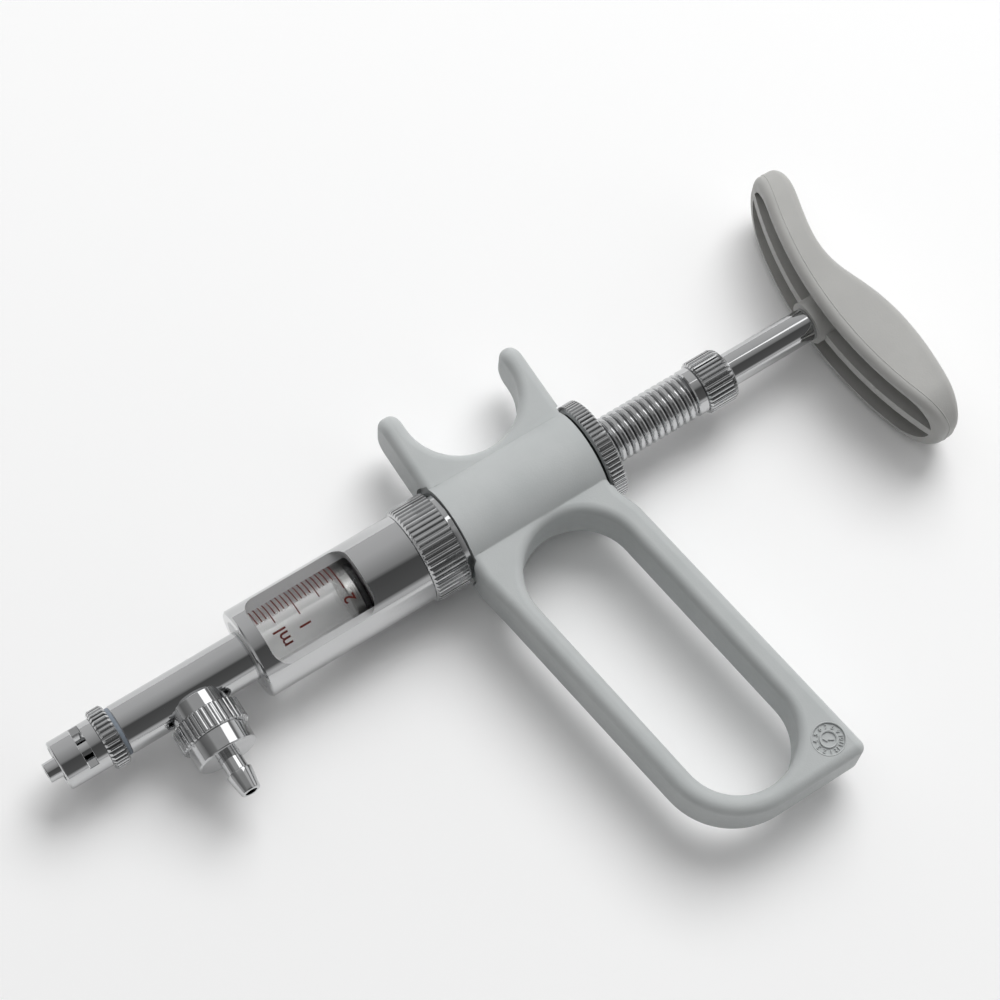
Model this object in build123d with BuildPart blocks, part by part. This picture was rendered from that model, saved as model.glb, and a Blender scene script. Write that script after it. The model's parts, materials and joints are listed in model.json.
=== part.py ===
from build123d import *
from math import atan2, cos, pi, sin, sqrt
import os

# Hand-held self-refilling dosing syringe, 2 ml. Millimetres.
# The barrel axis is X, from the nozzle tip at X = 0 to the palm rest; Z is square to the
# handle's flat side, so the part lies on its side. +Y is the finger cradle, -Y the loop.

os.makedirs("parts", exist_ok=True)

RUN = 0.05  # radial gap of a running fit
FACE = 0.03  # end gap between parts that turn on each other

# stations along the barrel axis
COLLAR_X = 2.6
RING_X, RING_END = 11.6, 15.0
TUBE_X = 15.8
INLET_X = 30.6
SLEEVE_X, SLEEVE_END = 43.8, 80.6
NUT_X, NUT_END = 80.65, 89.6
BODY_X, BODY_END = 89.9, 120.4
LOCK_X, LOCK_END = 121.0, 124.6
THREAD_END, KNOB_X, KNOB_END = 145.4, 147.9, 155.0
BOSS_X = 175.0

# turned parts, radii
TUBE_R = 5.15
COLLAR_R, RING_R = 5.1, 6.2
SLEEVE_R, SLEEVE_BORE = 9.4, 7.15
GLASS_R, BORE_R = 7.0, 5.7
NUT_R, LOCK_R = 10.1, 10.7
BODY_R = 10.2
SCREW_R, SCREW_BORE, PITCH = 5.0, 3.6, 1.5
KNOB_R = 5.7
ROD_R, ROD_THIN = 3.5, 2.5
ROD_STEP = 110.9
PISTON_X, PISTON_END = 65.5, 74.5

# measuring window in the sleeve
WINDOW_X, WINDOW_END, WINDOW_ARC = 46.9, 69.1, 54

# handle plate
PLATE_HALF = 6.2
ROUNDING = 1.9
CRADLE_X, CRADLE_Y, CRADLE_R = 105.3, 21.8, 12.0
LOOP_R = 11.7
LOOP_TOP, LOOP_LOW = (106.6, -21.3), (112.6, -63.9)
LOOP_SPAN = sqrt((LOOP_LOW[0] - LOOP_TOP[0]) ** 2 + (LOOP_LOW[1] - LOOP_TOP[1]) ** 2)
LOOP_LEAN = atan2(LOOP_LOW[1] - LOOP_TOP[1], LOOP_LOW[0] - LOOP_TOP[0]) * 180 / pi
TIP_Y, TIP_R = 26.6, 4.0
# corners of the plate below the cradle, each with its rounding
PLATE_FRONT, PLATE_BACK = 88.9, 121.2
PLATE_CORNERS = (
    ((PLATE_FRONT, -13.5), 12), ((90.0, -19.5), 12), ((98.9, -79.6), 15.8),
    ((132.3, -79.6), 1.6), ((122.9, -16.0), 8), ((PLATE_BACK, -11.3), 3),
)
DATE_WHEEL = (126.6, -74.2)

# palm rest
PALM_TOP, PALM_LOW = 31.4, -34.7
PALM_HALF, PALM_END_R = 9.2, 8.0
LIP, END_LIP = 2.0, 2.2
RIB_HALF = 1.2


def outline(*points):
    """A closed flat profile; X is the barrel axis, Y the radius or height."""
    with BuildSketch() as sketch:
        with BuildLine():
            Polyline(*points, close=True)
        make_face()
    return sketch.sketch


def toothed(plane, count, outer, root):
    """A knurled section: count round-topped teeth between two radii."""
    step = 2 * pi / count
    shoulder = outer - 0.07
    tooth_shape = (
        (-0.26, shoulder), (-0.1, outer), (0.1, outer), (0.26, shoulder), (0.38, root), (0.62, root),
    )
    corners = []
    for tooth in range(count):
        for share, radius in tooth_shape:
            angle = (tooth + share) * step
            corners.append((radius * cos(angle), radius * sin(angle)))
    with BuildSketch(plane) as sketch:
        with BuildLine():
            Polyline(*corners, close=True)
        make_face()
    return sketch.sketch


def box_of(x0, x1, y0, y1):
    """A rectangle between two corners."""
    return outline((x0, y0), (x1, y0), (x1, y1), (x0, y1))


# ---------------------------------------------------------------- nozzle unit
# Male Luer cone, 6 % taper, with the stub that screws into the valve tube.
with BuildPart() as luer_nozzle:
    revolve(
        outline(
            (0, 1.1), (0, 1.86), (0.13, 1.99), (9.4, 2.27), (9.4, 3.9), (RING_X, 3.9), (RING_X, 4.2),
            (RING_END - 0.6, 4.2), (RING_END - 0.6, 3.6), (19.8, 3.6), (20.0, 3.4), (20.0, 1.1),
        ),
        axis=Axis.X,
    )
luer_nozzle.part.label = "luer_nozzle"
export_step(luer_nozzle.part, "parts/luer_nozzle.step")

# Locking collar round the cone, milled through on two sides.
with BuildPart() as luer_collar:
    revolve(
        outline(
            (COLLAR_X, 4.2), (COLLAR_X, 4.8), (COLLAR_X + 0.3, COLLAR_R), (RING_X, COLLAR_R), (RING_X, 3.9),
            (4.0, 3.9), (4.0, 4.0), (3.0, 4.0),
        ),
        axis=Axis.X,
    )
    for side in (1, -1):
        with Locations((8.25, 0, side * 6.65)):
            Box(1.9, 14, 8, mode=Mode.SUBTRACT)
luer_collar.part.label = "luer_collar"
export_step(luer_collar.part, "parts/luer_collar.step")

with BuildPart() as nozzle_ring:
    extrude(toothed(Plane.YZ.offset(RING_X), 36, RING_R, RING_R - 0.65), amount=RING_END - RING_X)
    revolve(
        outline(
            (RING_X, 4.2), (RING_X, RING_R - 0.5), (RING_X + 0.5, RING_R), (RING_END - 0.5, RING_R),
            (RING_END, RING_R - 0.5), (RING_END, 4.2),
        ),
        axis=Axis.X,
        mode=Mode.INTERSECT,
    )
nozzle_ring.part.label = "nozzle_ring"
export_step(nozzle_ring.part, "parts/nozzle_ring.step")

with BuildPart() as nozzle_gasket:
    revolve(box_of(RING_END + FACE, TUBE_X, 3.7, 5.0), axis=Axis.X)
nozzle_gasket.part.label = "nozzle_gasket"
export_step(nozzle_gasket.part, "parts/nozzle_gasket.step")

# ---------------------------------------------------------------- valve tube
# Front bore takes the nozzle stub and the outlet valve; a side port leads to the inlet union.
PORT_FLOOR, PORT_R = -4.0, 2.9
with BuildPart() as valve_tube:
    revolve(
        outline(
            (TUBE_X, 3.65), (TUBE_X, TUBE_R - 0.15), (TUBE_X + 0.15, TUBE_R), (44.5, TUBE_R), (44.5, 7.0),
            (45.3, 7.0), (45.3, 1.9), (45.0, 1.6), (27.2, 1.6), (27.2, 3.65),
        ),
        axis=Axis.X,
    )
    with BuildSketch(Plane.XZ.offset(-PORT_FLOOR)):
        with Locations((INLET_X, 0)):
            Circle(PORT_R)
    extrude(amount=3, mode=Mode.SUBTRACT)
    with BuildSketch(Plane.XZ):
        with Locations((INLET_X, 0)):
            Circle(1.2)
    extrude(amount=6, mode=Mode.SUBTRACT)
valve_tube.part.label = "valve_tube"
export_step(valve_tube.part, "parts/valve_tube.step")

with BuildPart() as outlet_valve_seat:
    revolve(box_of(26.2, 27.2, 1.5, 3.65), axis=Axis.X)
outlet_valve_seat.part.label = "outlet_valve_seat"
export_step(outlet_valve_seat.part, "parts/outlet_valve_seat.step")

with BuildPart() as outlet_valve:
    revolve(
        outline(
            (22.6, 0), (22.6, 0.6), (22.8, 0.8), (25.1, 0.8), (25.1, 2.8), (25.8, 2.8), (26.17, 2.4),
            (26.17, 0),
        ),
        axis=Axis.X,
    )
outlet_valve.part.label = "outlet_valve"
export_step(outlet_valve.part, "parts/outlet_valve.step")

with BuildPart() as outlet_valve_spring:
    with BuildLine() as outlet_coil:
        Helix(pitch=1.15, height=4.6, radius=2.1, center=(20.25, 0, 0), direction=(1, 0, 0))
    with BuildSketch(Plane(origin=outlet_coil.line @ 0, z_dir=outlet_coil.line % 0)):
        Circle(0.2)
    sweep(path=outlet_coil.line, is_frenet=True)
outlet_valve_spring.part.label = "outlet_valve_spring"
export_step(outlet_valve_spring.part, "parts/outlet_valve_spring.step")

# ---------------------------------------------------------------- inlet union, along -Y
INLET = Axis((INLET_X, 0, 0), (0, 1, 0))


def down(*points):
    """A profile of (radius, distance below the barrel axis) for a part turned about the inlet axis."""
    return outline(*[(INLET_X + radius, -depth) for radius, depth in points])


with BuildPart() as inlet_boss:
    revolve(
        down((PORT_R, 2.6), (5.4, 2.6), (5.8, 3.0), (5.8, 6.1), (4.55, 6.1), (4.55, 10.5), (PORT_R, 10.5)),
        axis=INLET,
    )
    revolve(box_of(TUBE_X, SLEEVE_X, 0, TUBE_R), axis=Axis.X, mode=Mode.SUBTRACT)
inlet_boss.part.label = "inlet_boss"
export_step(inlet_boss.part, "parts/inlet_boss.step")

with BuildPart() as inlet_valve_seat:
    revolve(down((1.2, 10.5), (4.4, 10.5), (4.4, 11.5), (1.2, 11.5)), axis=INLET)
inlet_valve_seat.part.label = "inlet_valve_seat"
export_step(inlet_valve_seat.part, "parts/inlet_valve_seat.step")

with BuildPart() as inlet_valve:
    revolve(
        down(
            (0, 7.0), (0.5, 7.0), (0.7, 7.2), (0.7, 9.4), (2.4, 9.4), (2.4, 10.1), (2.0, 10.47), (0, 10.47),
        ),
        axis=INLET,
    )
inlet_valve.part.label = "inlet_valve"
export_step(inlet_valve.part, "parts/inlet_valve.step")

with BuildPart() as inlet_valve_spring:
    with BuildLine() as inlet_coil:
        Helix(pitch=1.2, height=4.9, radius=1.9, center=(INLET_X, -4.25, 0), direction=(0, -1, 0))
    with BuildSketch(Plane(origin=inlet_coil.line @ 0, z_dir=inlet_coil.line % 0)):
        Circle(0.2)
    sweep(path=inlet_coil.line, is_frenet=True)
inlet_valve_spring.part.label = "inlet_valve_spring"
export_step(inlet_valve_spring.part, "parts/inlet_valve_spring.step")

with BuildPart() as inlet_nut:
    nut_top = Plane((INLET_X, -6.15, 0), x_dir=(1, 0, 0), z_dir=(0, -1, 0))
    extrude(toothed(nut_top, 42, 7.05, 6.6), amount=9.05)
    revolve(
        down(
            (4.6, 6.15), (6.7, 6.15), (7.05, 6.5), (7.05, 10.6), (6.75, 10.9), (6.25, 10.9), (6.25, 14.9),
            (5.95, 15.2), (2.25, 15.2), (2.25, 13.9), (4.6, 13.9),
        ),
        axis=INLET,
        mode=Mode.INTERSECT,
    )
inlet_nut.part.label = "inlet_nut"
export_step(inlet_nut.part, "parts/inlet_nut.step")

with BuildPart() as inlet_barb:
    revolve(
        down(
            (1.25, 11.5), (4.4, 11.5), (4.4, 13.87), (2.2, 13.87), (2.2, 19.0), (2.63, 19.0), (2.63, 19.5),
            (2.0, 23.3), (1.8, 23.5), (1.25, 23.5),
        ),
        axis=INLET,
    )
inlet_barb.part.label = "inlet_barb"
export_step(inlet_barb.part, "parts/inlet_barb.step")

# ---------------------------------------------------------------- barrel
# The measuring window's cutter: a wedge with rounded corners, used on both flat sides.
with BuildPart() as window_cutter:
    with BuildSketch():
        with Locations(((WINDOW_X + WINDOW_END) / 2, 0)):
            RectangleRounded(WINDOW_END - WINDOW_X, 15.4, 3.2)
    extrude(amount=12)
    reach = 20
    with BuildSketch(Plane.YZ.offset(WINDOW_X - 1)):
        with BuildLine():
            Polyline(
                (0, 0),
                (reach * sin(WINDOW_ARC * pi / 180), reach * cos(WINDOW_ARC * pi / 180)),
                (-reach * sin(WINDOW_ARC * pi / 180), reach * cos(WINDOW_ARC * pi / 180)),
                close=True,
            )
        make_face()
    extrude(amount=WINDOW_END - WINDOW_X + 2, mode=Mode.INTERSECT)

with BuildPart() as barrel_sleeve:
    revolve(
        outline(
            (SLEEVE_X, TUBE_R), (SLEEVE_X, SLEEVE_R - 0.4), (SLEEVE_X + 0.4, SLEEVE_R),
            (SLEEVE_END, SLEEVE_R), (SLEEVE_END, 8.6), (83.1, 8.6), (83.1, 8.3), (83.8, 8.3), (83.8, 8.6),
            (84.8, 8.6), (84.8, SLEEVE_BORE), (44.5, SLEEVE_BORE), (44.5, TUBE_R),
        ),
        axis=Axis.X,
    )
    add(window_cutter.part, mode=Mode.SUBTRACT)
    add(window_cutter.part.rotate(Axis.X, 180), mode=Mode.SUBTRACT)
barrel_sleeve.part.label = "barrel_sleeve"
export_step(barrel_sleeve.part, "parts/barrel_sleeve.step")

with BuildPart() as front_seal:
    revolve(box_of(45.3, 45.6, 5.9, GLASS_R), axis=Axis.X)
front_seal.part.label = "front_seal"
export_step(front_seal.part, "parts/front_seal.step")

with BuildPart() as glass_barrel:
    revolve(box_of(45.6, 79.4, BORE_R, GLASS_R), axis=Axis.X)
glass_barrel.part.label = "glass_barrel"
export_step(glass_barrel.part, "parts/glass_barrel.step")

with BuildPart() as rear_seal:
    revolve(box_of(79.4, 80.2, 5.9, GLASS_R), axis=Axis.X)
rear_seal.part.label = "rear_seal"
export_step(rear_seal.part, "parts/rear_seal.step")

# Guides the thin end of the rod and seats the return spring.
with BuildPart() as rod_bush:
    revolve(
        outline(
            (80.2, ROD_THIN + RUN), (80.2, 7.1), (84.8, 7.1), (84.8, 4.7), (81.4, 4.7),
            (81.4, ROD_THIN + RUN),
        ),
        axis=Axis.X,
    )
rod_bush.part.label = "rod_bush"
export_step(rod_bush.part, "parts/rod_bush.step")

with BuildPart() as retaining_ring:
    revolve(box_of(83.15, 83.75, 8.3, 8.9), axis=Axis.X)
    with Locations((83.45, 8.6, 0)):
        Box(2, 2, 2.4, mode=Mode.SUBTRACT)
retaining_ring.part.label = "retaining_ring"
export_step(retaining_ring.part, "parts/retaining_ring.step")

with BuildPart() as coupling_nut:
    extrude(toothed(Plane.YZ.offset(NUT_X), 54, NUT_R, NUT_R - 0.45), amount=NUT_END - NUT_X)
    revolve(
        outline(
            (NUT_X, 8.65), (NUT_X, 9.2), (NUT_X + 0.7, NUT_R), (88.3, NUT_R), (88.6, NUT_R - 0.6),
            (NUT_END, NUT_R - 0.6), (NUT_END, 9.05), (82.9, 9.05), (82.9, 8.65),
        ),
        axis=Axis.X,
        mode=Mode.INTERSECT,
    )
coupling_nut.part.label = "coupling_nut"
export_step(coupling_nut.part, "parts/coupling_nut.step")

# ---------------------------------------------------------------- body
with BuildPart() as front_ferrule:
    revolve(
        outline(
            (84.8, 5.3), (84.8, 8.8), (85.0, 9.0), (BODY_X, 9.0), (BODY_X, 8.2), (98.0, 8.2), (98.0, 5.3),
        ),
        axis=Axis.X,
    )
front_ferrule.part.label = "front_ferrule"
export_step(front_ferrule.part, "parts/front_ferrule.step")

with BuildPart() as rear_bush:
    revolve(box_of(108.5, BODY_END, SCREW_R + RUN, 7.0), axis=Axis.X)
rear_bush.part.label = "rear_bush"
export_step(rear_bush.part, "parts/rear_bush.step")

# Handle: a plate with the finger cradle and the loop, then the round body through it.
with BuildPart() as handle_body:
    with BuildSketch(Plane.XY.offset(-PLATE_HALF)) as plate:
        with BuildLine():
            Polyline(
                (PLATE_BACK, TIP_Y + 1), (PLATE_FRONT, TIP_Y + 1), *[point for point, _ in PLATE_CORNERS],
                close=True,
            )
        make_face()
        for point, radius in PLATE_CORNERS:
            fillet(plate.vertices().sort_by_distance(Vector(*point, -PLATE_HALF))[0], radius=radius)
        with Locations((CRADLE_X, CRADLE_Y)):
            Circle(CRADLE_R, mode=Mode.SUBTRACT)
        with Locations((CRADLE_X, CRADLE_Y + 10)):
            Rectangle(2 * CRADLE_R, 20, mode=Mode.SUBTRACT)
        with Locations(((LOOP_TOP[0] + LOOP_LOW[0]) / 2, (LOOP_TOP[1] + LOOP_LOW[1]) / 2)):
            SlotCenterToCenter(LOOP_SPAN, 2 * LOOP_R, rotation=LOOP_LEAN, mode=Mode.SUBTRACT)
    extrude(amount=2 * PLATE_HALF)
    with BuildSketch(Plane.YZ.offset(80)):
        with Locations((TIP_Y - 60, 0)):
            RectangleRounded(120, 2 * PLATE_HALF, TIP_R)
    extrude(amount=60, mode=Mode.INTERSECT)
    flats = handle_body.faces().sort_by(Axis.Z)
    flat_edges = flats[0].edges() + flats[-1].edges()
    tip_edges = handle_body.edges().filter_by_position(Axis.Y, TIP_Y - TIP_R + 0.1, TIP_Y)
    fillet(
        flat_edges.filter_by_position(Axis.Y, -100, TIP_Y - TIP_R - 0.1)
        + tip_edges.filter_by(Axis.X, reverse=True),
        radius=ROUNDING,
    )
    # round body, with room at both ends for the nuts to turn
    revolve(box_of(BODY_X, BODY_END, 0, BODY_R), axis=Axis.X)
    revolve(box_of(80, BODY_X, 0, NUT_R + 0.7), axis=Axis.X, mode=Mode.SUBTRACT)
    revolve(box_of(BODY_END, 130, 0, LOCK_R + 0.5), axis=Axis.X, mode=Mode.SUBTRACT)
    # finger surfaces cut clean through the round body
    with BuildSketch(Plane.XY.offset(-12)):
        with Locations((CRADLE_X, CRADLE_Y)):
            Circle(CRADLE_R)
        with Locations(LOOP_TOP):
            Circle(LOOP_R)
    extrude(amount=24, mode=Mode.SUBTRACT)
    revolve(
        outline(
            (BODY_X, 0), (BODY_X, 8.2), (98.0, 8.2), (98.0, 5.4), (108.5, 5.4), (108.5, 7.0),
            (BODY_END, 7.0), (BODY_END, 0),
        ),
        axis=Axis.X,
        mode=Mode.SUBTRACT,
    )
    # moulding date wheel in the loop's flat corner
    with BuildSketch(Plane.XY.offset(PLATE_HALF)):
        with Locations(DATE_WHEEL):
            Circle(3.15)
            Circle(1.75, mode=Mode.SUBTRACT)
    extrude(amount=-0.35, mode=Mode.SUBTRACT)
    with BuildSketch(Plane.XY.offset(PLATE_HALF)):
        with Locations(DATE_WHEEL):
            Circle(1.45)
    extrude(amount=-0.35, mode=Mode.SUBTRACT)
handle_body.part.label = "handle_body"
export_step(handle_body.part, "parts/handle_body.step")

# ---------------------------------------------------------------- lock and dose setting
with BuildPart() as lock_washer:
    revolve(box_of(BODY_END, BODY_END + 0.55, SCREW_R + RUN, 9.0), axis=Axis.X)
lock_washer.part.label = "lock_washer"
export_step(lock_washer.part, "parts/lock_washer.step")

with BuildPart() as lock_nut:
    extrude(toothed(Plane.YZ.offset(LOCK_X), 66, LOCK_R, LOCK_R - 0.45), amount=LOCK_END - LOCK_X)
    revolve(
        outline(
            (LOCK_X, SCREW_R + RUN), (LOCK_X, LOCK_R - 1.0), (LOCK_X + 0.5, LOCK_R),
            (LOCK_END - 0.4, LOCK_R), (LOCK_END, LOCK_R - 0.5), (LOCK_END, SCREW_R + RUN),
        ),
        axis=Axis.X,
        mode=Mode.INTERSECT,
    )
lock_nut.part.label = "lock_nut"
export_step(lock_nut.part, "parts/lock_nut.step")

# Dose-setting tube; the crests stand for an M10 thread.
SCREW_X = ROD_STEP + 1.03
TURNS = 22
crests = []
for turn in range(TURNS):
    start = THREAD_END - (turn + 1) * PITCH
    crests += [
        (start + 0.25, SCREW_R - 0.85), (start + 0.55, SCREW_R - 0.1), (start + 0.75, SCREW_R),
        (start + 0.95, SCREW_R - 0.1), (start + 1.25, SCREW_R - 0.85),
    ][::-1]
with BuildPart() as dose_screw:
    revolve(
        outline(
            (SCREW_X, SCREW_BORE), (KNOB_X, SCREW_BORE), (KNOB_X, SCREW_R - 0.1), (KNOB_X - 0.2, SCREW_R),
            (THREAD_END + 0.2, SCREW_R), (THREAD_END, SCREW_R - 0.2), (THREAD_END, SCREW_R - 0.85), *crests,
            (SCREW_X, SCREW_R - 0.85),
        ),
        axis=Axis.X,
    )
dose_screw.part.label = "dose_screw"
export_step(dose_screw.part, "parts/dose_screw.step")

with BuildPart() as dose_knob:
    extrude(toothed(Plane.YZ.offset(KNOB_X), 34, KNOB_R, KNOB_R - 0.5), amount=KNOB_END - KNOB_X)
    revolve(
        outline(
            (KNOB_X, SCREW_BORE), (KNOB_X, KNOB_R - 0.4), (KNOB_X + 0.4, KNOB_R), (KNOB_END - 1.4, KNOB_R),
            (KNOB_END - 0.5, KNOB_R - 0.4), (KNOB_END, KNOB_R - 1.3), (KNOB_END, SCREW_BORE),
        ),
        axis=Axis.X,
        mode=Mode.INTERSECT,
    )
dose_knob.part.label = "dose_knob"
export_step(dose_knob.part, "parts/dose_knob.step")

# Follows the screw without turning, between its end and the bumper.
with BuildPart() as thrust_washer:
    revolve(box_of(ROD_STEP, ROD_STEP + 1.0, SCREW_BORE, 4.9), axis=Axis.X)
thrust_washer.part.label = "thrust_washer"
export_step(thrust_washer.part, "parts/thrust_washer.step")

# ---------------------------------------------------------------- plunger
with BuildPart() as piston_rod:
    revolve(
        outline(
            (66.9, 0), (66.9, ROD_THIN - 0.3), (67.2, ROD_THIN), (ROD_STEP, ROD_THIN), (ROD_STEP, ROD_R),
            (183.5, ROD_R), (184.0, ROD_R - 0.5), (184.0, 0),
        ),
        axis=Axis.X,
    )
piston_rod.part.label = "piston_rod"
export_step(piston_rod.part, "parts/piston_rod.step")

with BuildPart() as piston:
    revolve(
        outline(
            (PISTON_X, 0), (PISTON_X, 5.3), (PISTON_X + 0.3, 5.6), (67.6, 5.6), (67.6, 4.5), (69.2, 4.5),
            (69.2, 5.6), (71.2, 5.6), (71.2, 4.5), (72.8, 4.5), (72.8, 5.6), (PISTON_END - 0.3, 5.6),
            (PISTON_END, 5.3), (PISTON_END, ROD_THIN), (66.9, ROD_THIN), (66.9, 0),
        ),
        axis=Axis.X,
    )
piston.part.label = "piston"
export_step(piston.part, "parts/piston.step")



def o_ring_section(centre):
    """An eight-sided ring section that fills its groove in the piston."""
    return outline(
        (centre - 0.7, 4.9), (centre - 0.3, 4.5), (centre + 0.3, 4.5), (centre + 0.7, 4.9),
        (centre + 0.7, 5.3), (centre + 0.3, 5.67), (centre - 0.3, 5.67), (centre - 0.7, 5.3),
    )


with BuildPart() as piston_o_ring_front:
    revolve(o_ring_section(68.4), axis=Axis.X)
piston_o_ring_front.part.label = "piston_o_ring_front"
export_step(piston_o_ring_front.part, "parts/piston_o_ring_front.step")

with BuildPart() as piston_o_ring_rear:
    revolve(o_ring_section(72.0), axis=Axis.X)
piston_o_ring_rear.part.label = "piston_o_ring_rear"
export_step(piston_o_ring_rear.part, "parts/piston_o_ring_rear.step")

with BuildPart() as piston_nut:
    with BuildSketch(Plane.YZ.offset(PISTON_END)):
        RegularPolygon(4.2, 6)
        Circle(ROD_THIN, mode=Mode.SUBTRACT)
    extrude(amount=2.2)
piston_nut.part.label = "piston_nut"
export_step(piston_nut.part, "parts/piston_nut.step")

with BuildPart() as return_bumper:
    revolve(
        outline(
            (ROD_STEP - 2.5, ROD_THIN), (ROD_STEP - 2.5, 4.5), (ROD_STEP - 2.1, 4.9),
            (ROD_STEP - 0.03, 4.9), (ROD_STEP - 0.03, ROD_THIN),
        ),
        axis=Axis.X,
    )
return_bumper.part.label = "return_bumper"
export_step(return_bumper.part, "parts/return_bumper.step")

with BuildPart() as return_spring:
    with BuildLine() as return_coil:
        Helix(pitch=26.0 / 7.5, height=26.0, radius=3.65, center=(81.9, 0, 0), direction=(1, 0, 0))
    with BuildSketch(Plane(origin=return_coil.line @ 0, z_dir=return_coil.line % 0)):
        Circle(0.45)
    sweep(path=return_coil.line, is_frenet=True)
return_spring.part.label = "return_spring"
export_step(return_spring.part, "parts/return_spring.step")

# Palm rest: two side walls and a middle rib, cored from the front, its ends round when seen from behind.
# The palm rest's two hollows keep a rib between them and narrow to rounded ends.
with BuildPart() as palm_hollows:
    with BuildSketch(Plane.XY.offset(-PALM_HALF)):
        with BuildLine():
            Polyline((184.6, 29.8), (170, 29.8), (170, -33.2), (183.9, -33.2))
            Spline(
                (183.9, -33.2), (185.5, -27.5), (186.5, -19.0), (186.1, -10.0), (184.3, -3.0),
                (182.5, 3.0), (181.5, 9.0), (182.3, 16.0), (183.9, 23.0), (184.6, 29.8),
            )
        make_face()
    extrude(amount=2 * PALM_HALF)
    with BuildSketch(Plane.YZ.offset(160)):
        with Locations(((PALM_TOP + PALM_LOW) / 2, 0)):
            RectangleRounded(PALM_TOP - PALM_LOW - 2 * END_LIP, 2 * (PALM_HALF - LIP), PALM_HALF - LIP - 0.2)
            Rectangle(PALM_TOP - PALM_LOW, 2 * RIB_HALF, mode=Mode.SUBTRACT)
    extrude(amount=40, mode=Mode.INTERSECT)

with BuildPart() as palm_rest:
    with BuildSketch(Plane.XY.offset(-PALM_HALF)):
        with BuildLine():
            ThreePointArc((183.6, PALM_TOP + 1), (176.4, -0.5), (183.4, PALM_LOW - 1))
            Line((183.4, PALM_LOW - 1), (187.0, PALM_LOW - 1))
            Spline(
                (187.0, PALM_LOW - 1), (188.8, -27.5), (189.6, -18.5), (189.1, -9.5), (187.0, -1.0),
                (184.7, 6.0), (184.5, 12.5), (186.4, 20.5), (187.9, PALM_TOP + 1),
            )
            Line((187.9, PALM_TOP + 1), (183.6, PALM_TOP + 1))
        make_face()
    extrude(amount=2 * PALM_HALF)
    with BuildSketch(Plane.YZ.offset(170)):
        with Locations(((PALM_TOP + PALM_LOW) / 2, 0)):
            RectangleRounded(PALM_TOP - PALM_LOW, 2 * PALM_HALF, PALM_END_R)
    extrude(amount=30, mode=Mode.INTERSECT)
    fillet(palm_rest.edges().filter_by(Axis.X, reverse=True), radius=1.7)
    add(palm_hollows.part, mode=Mode.SUBTRACT)
    revolve(box_of(BOSS_X, 185.0, 0, 4.6), axis=Axis.X)
    revolve(
        outline((170, 0), (170, ROD_R), (177.0, ROD_R), (177.0, 4.0), (184.0, 4.0), (184.0, 0)),
        axis=Axis.X,
        mode=Mode.SUBTRACT,
    )
palm_rest.part.label = "palm_rest"
export_step(palm_rest.part, "parts/palm_rest.step")

with BuildPart() as palm_insert:
    revolve(box_of(177.0, 184.0, ROD_R, 4.0), axis=Axis.X)
palm_insert.part.label = "palm_insert"
export_step(palm_insert.part, "parts/palm_insert.step")
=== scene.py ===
import json
from math import asin, cos, degrees, pi, radians, sin

import bmesh
import bpy
from mathutils import Matrix, Vector


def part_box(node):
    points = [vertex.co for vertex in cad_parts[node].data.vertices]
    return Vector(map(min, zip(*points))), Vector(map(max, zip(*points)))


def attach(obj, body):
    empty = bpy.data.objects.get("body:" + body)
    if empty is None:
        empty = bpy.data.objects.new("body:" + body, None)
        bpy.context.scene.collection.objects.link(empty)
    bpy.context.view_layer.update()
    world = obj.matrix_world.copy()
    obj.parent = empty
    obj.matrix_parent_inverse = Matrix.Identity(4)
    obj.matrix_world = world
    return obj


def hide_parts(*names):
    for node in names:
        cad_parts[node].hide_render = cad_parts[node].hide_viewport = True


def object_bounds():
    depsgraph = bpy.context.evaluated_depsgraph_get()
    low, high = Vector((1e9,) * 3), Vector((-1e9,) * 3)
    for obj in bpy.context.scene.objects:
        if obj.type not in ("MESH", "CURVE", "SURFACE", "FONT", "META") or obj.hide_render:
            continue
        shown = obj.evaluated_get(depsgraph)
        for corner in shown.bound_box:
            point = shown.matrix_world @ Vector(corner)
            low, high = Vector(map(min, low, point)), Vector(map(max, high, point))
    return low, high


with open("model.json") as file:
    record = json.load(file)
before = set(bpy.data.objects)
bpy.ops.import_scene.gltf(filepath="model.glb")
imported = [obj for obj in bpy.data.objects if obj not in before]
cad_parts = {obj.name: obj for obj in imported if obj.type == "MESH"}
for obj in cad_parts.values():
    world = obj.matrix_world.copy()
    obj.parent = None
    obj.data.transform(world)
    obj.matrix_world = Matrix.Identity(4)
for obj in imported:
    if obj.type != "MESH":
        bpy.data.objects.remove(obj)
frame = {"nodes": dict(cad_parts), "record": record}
cad_low, cad_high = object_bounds()

MM = 0.001
bpy.context.scene.view_settings.view_transform = "Standard"

# The photograph's view: where the camera stands and how it is turned, in the row frame.
CAMERA_AT = Vector((-0.0203, -0.1534, 0.5065))
CAMERA_RIGHT = Vector((0.8387, -0.5434, 0.0368))
CAMERA_UP = Vector((0.4960, 0.7900, 0.3604))

# The scale on the glass: where 0 ml lies and the length of 1 ml.
SCALE_ZERO, ML_LENGTH = 45.75, 9.8
GLASS_R, SLEEVE_BORE, SLEEVE_R = 7.0, 7.15, 9.4
WINDOW = (46.7, 69.3)
BODY_R = 10.2

# The scale's marks: half their width, how far round the glass they end, where the tenths, the halves and
# the whole millilitres begin, and where the figures stand.
MARK_HALF, MARK_END = 0.125, radians(62)
TENTH_FROM, HALF_FROM, WHOLE_FROM = radians(17.6), radians(4.3), radians(-4.0)
FIGURE_AT = radians(-22)
FIGURES = (("1", 3.5, 1.0), ("2", 3.3, 2.0), ("ml", 3.9, 0.5))

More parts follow.
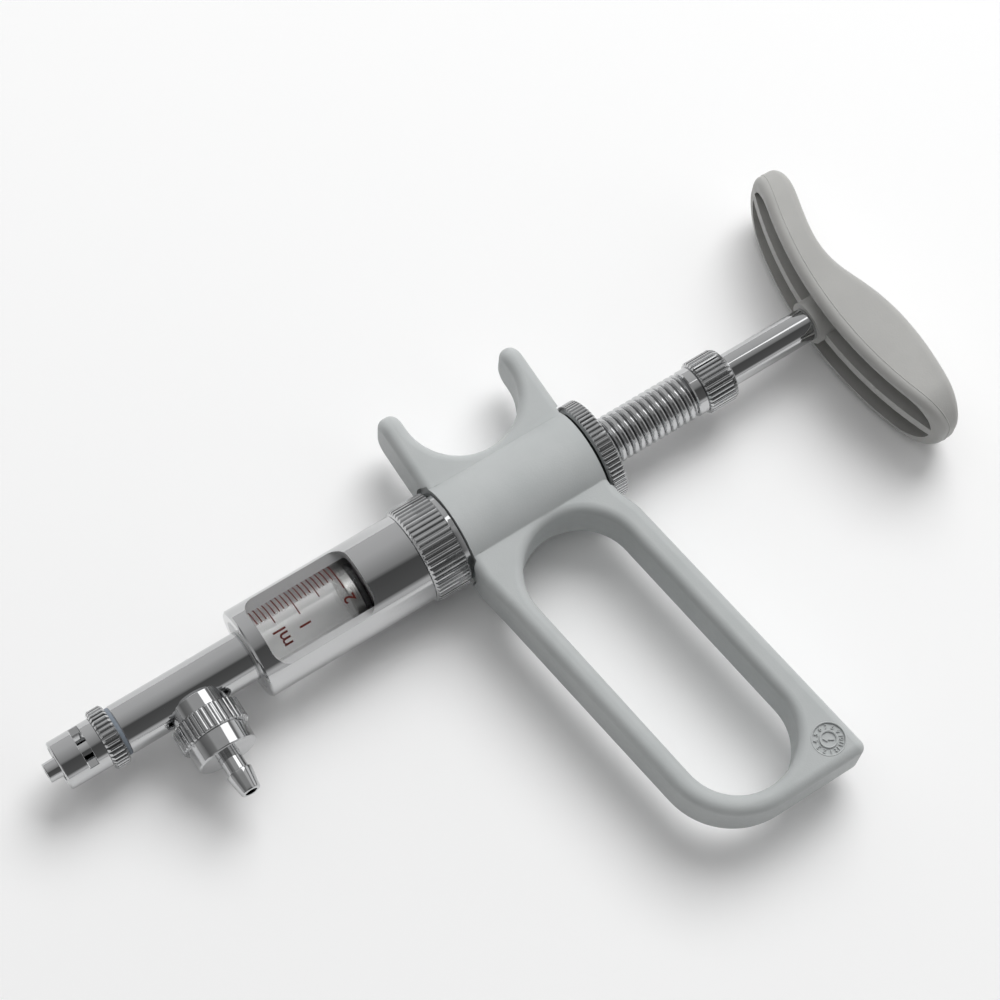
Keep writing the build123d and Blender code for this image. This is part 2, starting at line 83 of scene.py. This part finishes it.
# M10 x 1.5 thread on the dose screw: flat crests, as far run out at each end as RUN_OUT of a turn.
PITCH, CREST_R, ROOT_R, TUBE_BORE = 1.5, 5.0, 4.15, 3.6
CREST_POWER, RUN_OUT, TURN_STEPS, PROFILE_STEPS = 3.8, 0.6, 72, 14

# Centre and floor of the moulded date wheel in the handle.
DATE_WHEEL, WHEEL_FLOOR, PLATE_TOP = (126.6, -74.2), 5.85, 6.2
MONTH_SIZE, MONTH_R, MARK_HEIGHT = 1.15, 2.44, 0.30
MONTH_ZERO, ARROW_LEAN = 277, 57

# Where the body's mould lines run, and the angles from straight up at which they lie.
BODY_LINE, BODY_LINE_ANGLES = (91.2, 119.6), (52.3, -52.3, 127.7, -127.7)

# Three places (x, y) on the palm rest's hollow side, its corner radius and how far back the line lies.
PALM_FRONT = ((183.6, 32.4), (176.4, -0.5), (183.4, -35.7))
PALM_CORNER_R, PALM_LINE_BACK = 8.0, 1.95

# The thread inside the Luer collar.
LUER_LEAD, LUER_STARTS, LUER_FROM, LUER_TO = 5.0, 2, 3.2, 6.9
LUER_ROOT_R, LUER_CREST_R = 4.02, 3.55


# ---------------------------------------------------------------- materials
def new_material(name):
    """An empty material with one Principled shader; returns it with its node tree's parts."""
    material = bpy.data.materials.new(name)
    material.use_nodes = True
    tree = material.node_tree
    return material, tree, tree.nodes["Principled BSDF"]


def place(tree, stretch=(1, 1, 1)):
    """Object coordinates, stretched; the object's frame is the row frame in metres."""
    where = tree.nodes.new("ShaderNodeTexCoord")
    mapping = tree.nodes.new("ShaderNodeMapping")
    mapping.inputs["Scale"].default_value = stretch
    tree.links.new(where.outputs["Object"], mapping.inputs["Vector"])
    return mapping.outputs["Vector"]


def noise(tree, vector, scale, detail=2.0, rough=0.5):
    """A noise value with features about 1/scale metres across."""
    node = tree.nodes.new("ShaderNodeTexNoise")
    node.inputs["Scale"].default_value = scale
    node.inputs["Detail"].default_value = detail
    node.inputs["Roughness"].default_value = rough
    tree.links.new(vector, node.inputs["Vector"])
    return node.outputs["Fac"]


def spread(tree, value, low, high):
    """Maps a noise value's middle range to low..high."""
    node = tree.nodes.new("ShaderNodeMapRange")
    node.inputs["From Min"].default_value = 0.3
    node.inputs["From Max"].default_value = 0.7
    node.inputs["To Min"].default_value = low
    node.inputs["To Max"].default_value = high
    tree.links.new(value, node.inputs["Value"])
    return node.outputs["Result"]


def two_tone(tree, value, dark, light):
    """A colour between dark and light by a noise value."""
    ramp = tree.nodes.new("ShaderNodeValToRGB")
    ramp.color_ramp.elements[0].position = 0.3
    ramp.color_ramp.elements[0].color = (*dark, 1)
    ramp.color_ramp.elements[1].position = 0.7
    ramp.color_ramp.elements[1].color = (*light, 1)
    tree.links.new(value, ramp.inputs["Fac"])
    return ramp.outputs["Color"]


def bump(tree, shader, *heights):
    """Chains (height value, depth in metres) pairs into the shader's normal."""
    last = None
    for height, depth in heights:
        node = tree.nodes.new("ShaderNodeBump")
        node.inputs["Strength"].default_value = 1.0
        node.inputs["Distance"].default_value = depth
        tree.links.new(height, node.inputs["Height"])
        if last:
            tree.links.new(last, node.inputs["Normal"])
        last = node.outputs["Normal"]
    tree.links.new(last, shader.inputs["Normal"])


def metal(name, dark, light, rough, wave, grain, along=(1, 1, 1), wave_depth=3e-6, grain_depth=1e-6):
    """Metal with a slow waviness and a fine grain that may be drawn out along one axis."""
    material, tree, shader = new_material(name)
    shader.inputs["Metallic"].default_value = 1.0
    slow = noise(tree, place(tree), wave)
    fine = noise(tree, place(tree, along), grain, detail=3.0)
    tree.links.new(two_tone(tree, slow, dark, light), shader.inputs["Base Color"])
    tree.links.new(spread(tree, fine, *rough), shader.inputs["Roughness"])
    bump(tree, shader, (slow, wave_depth), (fine, grain_depth))
    return material


def sleeve_metal(name, bore_r, skin_r):
    """Polished chrome outside; in the bore and on the window's walls it is left unpolished, rough and less
    metallic, and painted paler: the paler colour is painted light that brightens the shaded bore and window
    walls.
    """
    material = metal(name, (0.54, 0.545, 0.55), (0.58, 0.585, 0.59), (0.012, 0.035), 60, 900)
    tree = material.node_tree
    shader = tree.nodes["Principled BSDF"]
    where = tree.nodes.new("ShaderNodeTexCoord")
    flat = tree.nodes.new("ShaderNodeVectorMath")
    flat.operation = "MULTIPLY"
    flat.inputs[1].default_value = (0, 1, 1)
    radius = tree.nodes.new("ShaderNodeVectorMath")
    radius.operation = "LENGTH"
    inside = tree.nodes.new("ShaderNodeMath")
    inside.operation = "LESS_THAN"
    along = tree.nodes.new("ShaderNodeSeparateXYZ")
    at_window = tree.nodes.new("ShaderNodeMath")
    at_window.operation = "COMPARE"
    middle, half = (WINDOW[0] + WINDOW[1]) / 2, (WINDOW[1] - WINDOW[0]) / 2
    at_window.inputs[1].default_value, at_window.inputs[2].default_value = middle * MM, half * MM
    limit = tree.nodes.new("ShaderNodeMapRange")
    limit.inputs["To Min"].default_value, limit.inputs["To Max"].default_value = bore_r * MM, skin_r * MM
    tree.links.new(where.outputs["Object"], flat.inputs[0])
    tree.links.new(where.outputs["Object"], along.inputs[0])
    tree.links.new(along.outputs["X"], at_window.inputs[0])
    tree.links.new(at_window.outputs["Value"], limit.inputs["Value"])
    tree.links.new(limit.outputs["Result"], inside.inputs[1])
    tree.links.new(flat.outputs["Vector"], radius.inputs[0])
    tree.links.new(radius.outputs["Value"], inside.inputs[0])
    # Bore and window walls: a rough, half-metallic finish for the unpolished metal, and a paler base colour
    # that is painted light, brightening the shade inside the sleeve.
    for socket, unpolished_and_painted_light in (("Base Color", (0.66, 0.665, 0.67, 1)), ("Roughness", 0.36), ("Metallic", 0.5)):
        mix = tree.nodes.new("ShaderNodeMix")
        mix.data_type = "RGBA" if socket == "Base Color" else "FLOAT"
        slot_a, slot_b = (6, 7) if socket == "Base Color" else (2, 3)
        mix.inputs[slot_b].default_value = unpolished_and_painted_light
        tree.links.new(inside.outputs["Value"], mix.inputs[0])
        if shader.inputs[socket].is_linked:
            tree.links.new(shader.inputs[socket].links[0].from_socket, mix.inputs[slot_a])
        else:
            mix.inputs[slot_a].default_value = shader.inputs[socket].default_value
        tree.links.new(mix.outputs[2 if socket == "Base Color" else 0], shader.inputs[socket])
    return material


def plastic(name, dark, light, rough=(0.42, 0.55), grain_depth=2.2e-5):
    """Matte moulded plastic: slow cloudiness in the colour, a spark-eroded grain in the surface."""
    material, tree, shader = new_material(name)
    cloud = noise(tree, place(tree), 90, detail=4.0)
    grain = noise(tree, place(tree), 3200, detail=2.0)
    pores = noise(tree, place(tree), 900, detail=3.0)
    tree.links.new(two_tone(tree, cloud, dark, light), shader.inputs["Base Color"])
    tree.links.new(spread(tree, pores, *rough), shader.inputs["Roughness"])
    shader.inputs["Specular IOR Level"].default_value = 0.42
    bump(tree, shader, (pores, grain_depth * 0.6), (grain, grain_depth))
    return material


def rubber(name, dark, light, rough=(0.5, 0.7)):
    """Elastomer with a faint bloom."""
    material, tree, shader = new_material(name)
    bloom = noise(tree, place(tree), 700, detail=4.0)
    tree.links.new(two_tone(tree, bloom, dark, light), shader.inputs["Base Color"])
    tree.links.new(spread(tree, bloom, *rough), shader.inputs["Roughness"])
    bump(tree, shader, (bloom, 1.5e-5))
    return material


def glass(name):
    """Clear ground glass tube: real refraction, with faint drawing lines along the bore."""
    material, tree, shader = new_material(name)
    shader.inputs["Base Color"].default_value = (0.97, 0.975, 0.97, 1)
    shader.inputs["Alpha"].default_value = 0.38
    shader.inputs["Transmission Weight"].default_value = 1.0
    shader.inputs["IOR"].default_value = 1.45
    shader.inputs["Roughness"].default_value = 0.0
    lines = noise(tree, place(tree, (0.02, 1, 1)), 900)
    bump(tree, shader, (lines, 4e-7))
    return material


LOOKS = {
    "chrome": metal(
        "chrome_plate", (0.54, 0.545, 0.55), (0.58, 0.585, 0.59), (0.012, 0.035), 60, 900, wave_depth=2e-6
    ),
    "drawn_chrome": metal(
        "drawn_chrome", (0.53, 0.535, 0.54), (0.57, 0.575, 0.58), (0.02, 0.06), 60, 2600,
        along=(0.05, 1, 1), wave_depth=2.5e-6, grain_depth=2e-6,
    ),
    "knurled_chrome": metal(
        "knurled_chrome", (0.50, 0.505, 0.51), (0.57, 0.575, 0.58), (0.025, 0.07), 250, 1800, wave_depth=3e-6
    ),
    "sleeve_chrome": sleeve_metal("sleeve_chrome", SLEEVE_BORE + 0.08, SLEEVE_R - 0.02),
    "machined_steel": metal(
        "turned_steel", (0.40, 0.40, 0.395), (0.52, 0.52, 0.51), (0.24, 0.40), 90, 5200,
        along=(1, 0.04, 0.04), grain_depth=4e-6,
    ),
    "spring_steel": metal("spring_wire", (0.34, 0.34, 0.35), (0.46, 0.46, 0.47), (0.22, 0.36), 200, 3000),
    "brass": metal(
        "turned_brass", (0.58, 0.43, 0.20), (0.70, 0.54, 0.27), (0.18, 0.34), 90, 5200, along=(1, 0.04, 0.04)
    ),
    "body_plastic": plastic("body_plastic", (0.435, 0.455, 0.455), (0.475, 0.492, 0.492)),
    "palm_plastic": plastic("palm_plastic", (0.385, 0.383, 0.372), (0.42, 0.418, 0.405)),
    "seal_blue": rubber("blue_elastomer", (0.17, 0.20, 0.235), (0.22, 0.25, 0.29)),
    "seal_black": rubber("black_elastomer", (0.012, 0.012, 0.013), (0.03, 0.03, 0.032)),
    "seal_white": plastic("white_ptfe", (0.72, 0.72, 0.70), (0.80, 0.80, 0.78), (0.35, 0.5), 6e-6),
    "bore_glass": glass("barrel_glass"),
    "scale_red": rubber("fired_scale_red", (0.075, 0.006, 0.003), (0.105, 0.009, 0.005), (0.45, 0.6)),
}
SPECIAL = {"piston_rod": "drawn_chrome", "valve_tube": "drawn_chrome", "barrel_sleeve": "sleeve_chrome"}
EDGE_MM = {
    "barrel_sleeve": 0.30, "handle_body": 0.10, "palm_rest": 0.20, "coupling_nut": 0.09, "lock_nut": 0.09,
    "inlet_nut": 0.10, "nozzle_ring": 0.09, "dose_knob": 0.08, "luer_collar": 0.12, "valve_tube": 0.15,
    "inlet_boss": 0.15, "inlet_barb": 0.10, "luer_nozzle": 0.08, "front_ferrule": 0.12, "piston": 0.10,
}
SPRINGS = ("outlet_valve_spring", "inlet_valve_spring", "return_spring")


def finish_edges(obj, width, segments=3):
    """Breaks the sharp edges of a hard piece, as polishing or a mould does, for the eye only."""
    weld = obj.modifiers.new("weld", "WELD")
    weld.merge_threshold = 1e-6
    bevel = obj.modifiers.new("broken_edges", "BEVEL")
    bevel.width = width
    bevel.segments = segments
    bevel.limit_method = "ANGLE"
    bevel.angle_limit = radians(32)
    bevel.use_clamp_overlap = True
    normals = obj.modifiers.new("face_weighted", "WEIGHTED_NORMAL")
    normals.keep_sharp = True
    normals.weight = 60


def dress_cad_nodes():
    """Gives every CAD node its procedural material, and all but the springs and the glass barrel broken
    edges.
    """
    slots = {part["node"]: part["material_slot"] for part in frame["record"]["subparts"]}
    for name, obj in frame["nodes"].items():
        look = LOOKS[SPECIAL.get(name, slots[name])]
        for holder in obj.material_slots:
            holder.material = look
        if name not in SPRINGS and name != "glass_barrel":
            finish_edges(obj, EDGE_MM.get(name, 0.06) * MM)


# ---------------------------------------------------------------- mesh helpers
def new_piece(name, mesh, material, body):
    """Links a mesh as a piece of the object that rides on a body."""
    mesh.name = name
    mesh.materials.clear()
    mesh.materials.append(material)
    obj = bpy.data.objects.new(name, mesh)
    bpy.context.scene.collection.objects.link(obj)
    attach(obj, body)
    return obj


def finish_bmesh(bm, smooth=True):
    """Welds, orients and hands over a bmesh."""
    bmesh.ops.remove_doubles(bm, verts=bm.verts, dist=1e-6)
    bmesh.ops.dissolve_degenerate(bm, edges=bm.edges, dist=1e-7)
    bmesh.ops.recalc_face_normals(bm, faces=bm.faces)
    for face in bm.faces:
        face.smooth = smooth
    mesh = bpy.data.meshes.new("piece")
    bm.to_mesh(mesh)
    bm.free()
    return mesh


def on_barrel(x, radius, angle):
    """A point about the barrel axis, from millimetres and an angle measured from +Z towards +Y."""
    return Vector((x * MM, radius * sin(angle) * MM, radius * cos(angle) * MM))


def grid_faces(bm, rows, close=False):
    """Quads between neighbouring rows of vertices."""
    for low, high in zip(rows, rows[1:]):
        count = len(low)
        for i in range(count if close else count - 1):
            j = (i + 1) % count
            bm.faces.new((low[i], low[j], high[j], high[i]))


def lathe(bm, profile, segments):
    """Turns a profile of (x, radius) about the barrel axis."""
    rows = [
        [bm.verts.new(on_barrel(x, radius, 2 * pi * i / segments)) for i in range(segments)]
        for x, radius in profile
    ]
    grid_faces(bm, rows, close=True)


# ---------------------------------------------------------------- dose screw
def dose_screw():
    """The threaded tube with a true helix, its ends run out, and its plain shoulder."""
    low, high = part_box("dose_screw")
    x_low, x_high = low.x / MM, high.x / MM
    thread_low, thread_high = x_low + 0.3, x_high - 2.3
    steps = TURN_STEPS
    run_length = RUN_OUT * PITCH
    bm = bmesh.new()
    rows = []
    turns = int((thread_high - thread_low) / PITCH) + 3
    for step in range(turns * steps + 1):
        row = []
        for number in range(PROFILE_STEPS + 1):
            share = number / PROFILE_STEPS
            height = 1 - abs(2 * share - 1) ** CREST_POWER
            x = thread_low + (step / steps - 1 + share - 0.5) * PITCH
            x = min(max(x, thread_low), thread_high)
            run_out = min(1.0, (x - thread_low) / run_length, (thread_high - x) / run_length)
            radius = ROOT_R + (CREST_R - ROOT_R) * height * max(run_out, 0.0)
            row.append(bm.verts.new(on_barrel(x, radius, -2 * pi * step / steps)))
        rows.append(row)
    grid_faces(bm, rows)
    lathe(
        bm,
        (
            (thread_high, ROOT_R), (thread_high, CREST_R - 0.25), (thread_high + 0.25, CREST_R),
            (x_high - 0.25, CREST_R), (x_high, CREST_R - 0.2), (x_high, TUBE_BORE), (x_low, TUBE_BORE),
            (x_low, ROOT_R - 0.15), (x_low + 0.15, ROOT_R), (thread_low, ROOT_R),
        ),
        steps,
    )
    screw = new_piece("dose_screw_thread", finish_bmesh(bm), LOOKS["chrome"], "dose_setter")
    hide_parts("dose_screw")
    sharp = screw.modifiers.new("face_weighted", "WEIGHTED_NORMAL")
    sharp.keep_sharp = True
    screw.data.set_sharp_from_angle(angle=radians(38))


# ---------------------------------------------------------------- scale
def curved_bar(bm, x_low, x_high, angle_low, angle_high, r_low, r_high):
    """A thin bar that lies round the glass."""
    cuts = max(2, int(degrees(abs(angle_high - angle_low)) / 4))
    rows = []
    for cut in range(cuts + 1):
        angle = angle_low + (angle_high - angle_low) * cut / cuts
        corners = ((x_low, r_low), (x_high, r_low), (x_high, r_high), (x_low, r_high))
        rows.append([bm.verts.new(on_barrel(x, r, angle)) for x, r in corners])
    grid_faces(bm, rows, close=True)
    bm.faces.new(rows[0])
    bm.faces.new(rows[-1])


def letters(text, size, thickness):
    """A mesh of text in the built-in font, centred, lying in its XY plane, in millimetres."""
    curve = bpy.data.curves.new("letters", "FONT")
    curve.body = text
    curve.size = size
    curve.align_x, curve.align_y = "CENTER", "CENTER"
    curve.extrude = thickness / 2
    curve.offset = 0.009 * size
    curve.resolution_u = 4
    holder = bpy.data.objects.new("letters", curve)
    mesh = bpy.data.meshes.new_from_object(holder)
    bpy.data.objects.remove(holder)
    return mesh


def add_mesh(bm, mesh, mapping):
    """Adds a mesh to a bmesh with every vertex sent through mapping."""
    part = bmesh.new()
    part.from_mesh(mesh)
    for vert in part.verts:
        vert.co = mapping(vert.co.copy())
    temporary = bpy.data.meshes.new("temporary")
    part.to_mesh(temporary)
    part.free()
    bm.from_mesh(temporary)
    bpy.data.meshes.remove(temporary)


def scale_marks():
    """Dark red graduations every 0.1 ml, with the figures and the unit turned along the glass."""
    bm = bmesh.new()
    r_low, r_high = GLASS_R + 0.005, GLASS_R + 0.045
    for tenth in range(1, 21):
        x = SCALE_ZERO + ML_LENGTH * tenth / 10
        tip = WHOLE_FROM if tenth % 10 == 0 else HALF_FROM if tenth % 5 == 0 else TENTH_FROM
        curved_bar(bm, x - MARK_HALF, x + MARK_HALF, tip, MARK_END, r_low, r_high)

    thickness = r_high - r_low
    for text, size, at in FIGURES:
        x = SCALE_ZERO + ML_LENGTH * at

        def wrap(co):
            return on_barrel(x - co.y, r_low + thickness / 2 + co.z, FIGURE_AT + co.x / GLASS_R)

        add_mesh(bm, letters(text, size, thickness), wrap)
    new_piece("scale_marks", finish_bmesh(bm, smooth=False), LOOKS["scale_red"], "frame")


# ---------------------------------------------------------------- date wheel
def date_wheel():
    """Raised month figures round the ring, an arrow on the centre and two rims on the moulded date wheel."""
    bm = bmesh.new()
    centre = Vector((*DATE_WHEEL, 0))

    for month in range(1, 13):
        spin = Matrix.Rotation(radians(MONTH_ZERO - 30 * month) - pi / 2, 3, "Z")

        def seat(co):
            flat = spin @ Vector((co.x, co.y + MONTH_R, 0))
            return (centre + flat + Vector((0, 0, WHEEL_FLOOR + MARK_HEIGHT / 2 + co.z))) * MM

        add_mesh(bm, letters(str(month), MONTH_SIZE, MARK_HEIGHT), seat)

    arrow = (
        (-0.17, -1.1), (0.17, -1.1), (0.17, 0.2), (0.52, 0.2), (0.0, 1.15), (-0.52, 0.2), (-0.17, 0.2)
    )
    lean = Matrix.Rotation(radians(ARROW_LEAN), 3, "Z")
    layers = []
    for z in (WHEEL_FLOOR, WHEEL_FLOOR + MARK_HEIGHT):
        corners = [centre + lean @ Vector((x, y, 0)) + Vector((0, 0, z)) for x, y in arrow]
        layers.append([bm.verts.new(corner * MM) for corner in corners])
    grid_faces(bm, layers, close=True)
    bm.faces.new(layers[0])
    bm.faces.new(layers[1])

    for radius, width, rim in ((3.28, 0.16, 0.09), (1.66, 0.12, 0.05)):
        section = ((-width, -0.3), (-width, 0.0), (-0.05, rim), (0.05, rim), (width, 0.0), (width, -0.3))
        rows = []
        for step in range(96):
            turn = 2 * pi * step / 96
            outward = Vector((cos(turn), sin(turn), 0))
            spots = [centre + outward * (radius + dr) + Vector((0, 0, PLATE_TOP + dz)) for dr, dz in section]
            rows.append([bm.verts.new(spot * MM) for spot in spots])
        grid_faces(bm, [*rows, rows[0]], close=True)
    new_piece(
        "date_wheel_marks", finish_bmesh(bm, smooth=False), LOOKS["body_plastic"], "frame"
    )


# ---------------------------------------------------------------- mould lines
def mould_line(name, path, width, height, material, body, closed=False):
    """A fine raised line along a path of (place, outward direction) pairs, in millimetres."""
    bm = bmesh.new()
    rows = []
    last = len(path) - 1
    for number, (spot, outward) in enumerate(path):
        before = path[number - 1 if number or closed else 0][0]
        after = path[(number + 1) % len(path) if closed else min(number + 1, last)][0]
        out = outward.normalized()
        side = (after - before).normalized().cross(out)
        corners = ((-0.5, -0.4), (-0.3, 0.7), (0, 1), (0.3, 0.7), (0.5, -0.4))
        rows.append([bm.verts.new((spot + side * width * a + out * height * b) * MM) for a, b in corners])
    if closed:
        grid_faces(bm, [*rows, rows[0]], close=True)
    else:
        grid_faces(bm, rows, close=True)
        bm.faces.new(rows[0])
        bm.faces.new(rows[-1])
    new_piece(name, finish_bmesh(bm), material, body)


def body_mould_lines():
    """The lines where the mould's slides met, along both sides of the round body."""
    x_low, x_high = BODY_LINE
    for number, angle in enumerate(BODY_LINE_ANGLES):
        outward = Vector((0, sin(radians(angle)), cos(radians(angle))))
        path = []
        for step in range(25):
            x = x_low + (x_high - x_low) * step / 24
            path.append((Vector((x, 0, 0)) + outward * BODY_R, outward))
        mould_line(
            f"body_mould_line_{number + 1}", path, 0.22, 0.05, LOOKS["body_plastic"], "frame"
        )


def palm_mould_line():
    """The parting line that runs round the palm rest, just behind its hollow side's rounded edge."""
    low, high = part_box("palm_rest")
    top, bottom, half = high.y / MM, low.y / MM, high.z / MM
    end_r = PALM_CORNER_R
    corners = (
        (top - end_r, half - end_r), (bottom + end_r, half - end_r),
        (bottom + end_r, end_r - half), (top - end_r, end_r - half),
    )
    sweep = 20
    outline = []
    for corner, (y, z) in enumerate(corners):
        for step in range(sweep + 1):
            turn = radians(90 * corner + 90 * step / sweep)
            outward = Vector((0, cos(turn), sin(turn)))
            outline.append((Vector((0, y, z)) + outward * end_r, outward))
    dense = []
    for (here, outward), (there, next_outward) in zip(outline, outline[1:] + outline[:1]):
        cuts = max(1, int((there - here).length / 1.5))
        for cut in range(cuts):
            share = cut / cuts
            dense.append((here.lerp(there, share), outward.lerp(next_outward, share)))
    path = []
    for spot, outward in dense:
        path.append((Vector((front_of_palm(spot.y) + PALM_LINE_BACK, spot.y, spot.z)), outward))
    mould_line(
        "palm_mould_line", path, 0.3, 0.09, LOOKS["palm_plastic"], "plunger", closed=True
    )


def front_of_palm(y):
    """Where the palm rest's hollow side lies, an arc through three places along it."""
    (x1, y1), (x2, y2), (x3, y3) = PALM_FRONT
    turn = 2 * (x1 * (y2 - y3) + x2 * (y3 - y1) + x3 * (y1 - y2))
    s1, s2, s3 = x1 * x1 + y1 * y1, x2 * x2 + y2 * y2, x3 * x3 + y3 * y3
    x_mid = (s1 * (y2 - y3) + s2 * (y3 - y1) + s3 * (y1 - y2)) / turn
    y_mid = (s1 * (x3 - x2) + s2 * (x1 - x3) + s3 * (x2 - x1)) / turn
    radius = ((x1 - x_mid) ** 2 + (y1 - y_mid) ** 2) ** 0.5
    return x_mid - (radius ** 2 - (y - y_mid) ** 2) ** 0.5


def luer_thread():
    """The two-start thread inside the locking collar, cut on the collar's bore."""
    section = ((-0.55, LUER_ROOT_R), (-0.25, LUER_CREST_R), (0.25, LUER_CREST_R), (0.55, LUER_ROOT_R))
    steps = 60
    bm = bmesh.new()
    for start in range(LUER_STARTS):
        rows = []
        for step in range(steps + 1):
            x = LUER_FROM + (LUER_TO - LUER_FROM) * step / steps
            angle = 2 * pi * ((x - LUER_FROM) / LUER_LEAD + start / LUER_STARTS)
            fade = min(1.0, 4 * step / steps, 4 * (steps - step) / steps)
            row = [on_barrel(x + dx, LUER_ROOT_R - (LUER_ROOT_R - r) * fade, angle) for dx, r in section]
            rows.append([bm.verts.new(spot) for spot in row])
        grid_faces(bm, rows, close=True)
        bm.faces.new(rows[0])
        bm.faces.new(rows[-1])
    new_piece("luer_lock_thread", finish_bmesh(bm), LOOKS["chrome"], "nozzle")


# ---------------------------------------------------------------- stage
def camera():
    """A 100 mm lens where the photograph was taken from."""
    data = bpy.data.cameras.new("camera")
    data.lens, data.sensor_width = 100, 36
    data.clip_start, data.clip_end = 0.01, 50
    back = CAMERA_RIGHT.cross(CAMERA_UP).normalized()
    up = back.cross(CAMERA_RIGHT).normalized()
    turn = Matrix((up.cross(back).normalized(), up, back)).transposed()
    obj = bpy.data.objects.new("camera", data)
    obj.matrix_world = Matrix.Translation(CAMERA_AT) @ turn.to_4x4()
    bpy.context.scene.collection.objects.link(obj)
    bpy.context.scene.camera = obj


def area_light(name, at, towards, size, power, mirrored=True):
    """A soft panel; mirrored says whether it shows in polished surfaces."""
    data = bpy.data.lights.new(name, "AREA")
    data.shape = "RECTANGLE"
    data.size, data.size_y = size
    data.energy = power
    obj = bpy.data.objects.new(name, data)
    obj.location = at
    obj.rotation_mode = "QUATERNION"
    obj.rotation_quaternion = (Vector(towards) - Vector(at)).to_track_quat("-Z", "Y")
    obj.visible_glossy = mirrored
    bpy.context.scene.collection.objects.link(obj)


# The tent's neutral brightness: by the angle about the barrel from straight up, negative towards the
# loop, where a dark card stands, and by how far a direction leans along the barrel at its two ends.
TENT_ROUND = ((-180, 0.60), (-80, 0.60), (-70, 0.12), (-20, 0.09), (-10, 0.30), (40, 0.58), (90, 0.66))
TENT_ALONG = ((-1.0, 0.50), (-0.85, 0.15), (-0.40, 0.30), (0.72, 0.65), (0.84, 0.15), (0.92, 0.80))
TENT_ENDS = (0.38, 0.50)


def grey_steps(tree, value, reach, stops):
    """A neutral ramp over -reach..reach, from (share of the reach, brightness) pairs."""
    share = tree.nodes.new("ShaderNodeMapRange")
    share.inputs["From Min"].default_value, share.inputs["From Max"].default_value = -reach, reach
    ramp = tree.nodes.new("ShaderNodeValToRGB")
    elements = ramp.color_ramp.elements
    for number, (place_on_ramp, level) in enumerate(stops):
        spot = place_on_ramp / 2 + 0.5
        element = elements[number] if number < 2 else elements.new(spot)
        element.position = spot
        element.color = (level, level, level, 1)
    tree.links.new(value, share.inputs["Value"])
    tree.links.new(share.outputs["Result"], ramp.inputs["Fac"])
    return ramp.outputs["Color"]


def pale_floor():
    """A wide sheet of pale paper just under the object."""
    floor_mesh = bpy.data.meshes.new("floor")
    z = cad_low.z - 0.0001
    reach = 6.0
    corners = [(-reach, -reach, z), (reach, -reach, z), (reach, reach, z), (-reach, reach, z)]
    floor_mesh.from_pydata(corners, [], [(0, 1, 2, 3)])
    material, tree, shader = new_material("floor_paper")
    shader.inputs["Base Color"].default_value = (0.96, 0.96, 0.96, 1)
    shader.inputs["Roughness"].default_value = 0.9
    shader.inputs["Specular IOR Level"].default_value = 0.1
    floor_mesh.materials.append(material)
    floor = bpy.data.objects.new("floor", floor_mesh)
    bpy.context.scene.collection.objects.link(floor)


def soft_lights():
    """A soft key and a top light for the matte surfaces, and a panel that also shows in the chrome."""
    middle = (0.095, -0.02, 0.0)
    area_light("key", (0.72, 0.50, 1.05), middle, (0.9, 0.9), 11, mirrored=False)
    area_light("top", (-0.1, 0.1, 1.5), middle, (1.2, 1.2), 2.5, mirrored=False)
    area_light("panel", (1.47, 0.60, 1.80), (0.05, 0, 0), (1.0, 1.2), 5.0)


def light_tent():
    """The world: a neutral tent with a dark card on the loop's side, and its two ends along the barrel."""
    world = bpy.data.worlds.new("tent")
    bpy.context.scene.world = world
    world.use_nodes = True
    tree = world.node_tree
    where = tree.nodes.new("ShaderNodeTexCoord")
    split = tree.nodes.new("ShaderNodeSeparateXYZ")
    turn = tree.nodes.new("ShaderNodeMath")
    turn.operation = "ARCTAN2"
    tree.links.new(where.outputs["Generated"], split.inputs["Vector"])
    tree.links.new(split.outputs["Y"], turn.inputs[0])
    tree.links.new(split.outputs["Z"], turn.inputs[1])
    around = grey_steps(tree, turn.outputs["Value"], pi, [(a / 180, level) for a, level in TENT_ROUND])
    along = grey_steps(tree, split.outputs["X"], 1, TENT_ALONG)
    aside = tree.nodes.new("ShaderNodeMath")
    aside.operation = "ABSOLUTE"
    tree.links.new(split.outputs["X"], aside.inputs[0])
    apart = tree.nodes.new("ShaderNodeMapRange")
    apart.inputs["From Min"].default_value, apart.inputs["From Max"].default_value = TENT_ENDS
    tree.links.new(aside.outputs["Value"], apart.inputs["Value"])
    both = tree.nodes.new("ShaderNodeMix")
    both.data_type = "RGBA"
    tree.links.new(apart.outputs["Result"], both.inputs[0])
    tree.links.new(around, both.inputs[6])
    tree.links.new(along, both.inputs[7])
    tree.links.new(both.outputs[2], tree.nodes["Background"].inputs["Color"])


camera()
pale_floor()
soft_lights()
light_tent()
dress_cad_nodes()
dose_screw()
scale_marks()
date_wheel()
body_mould_lines()
palm_mould_line()
luer_thread()
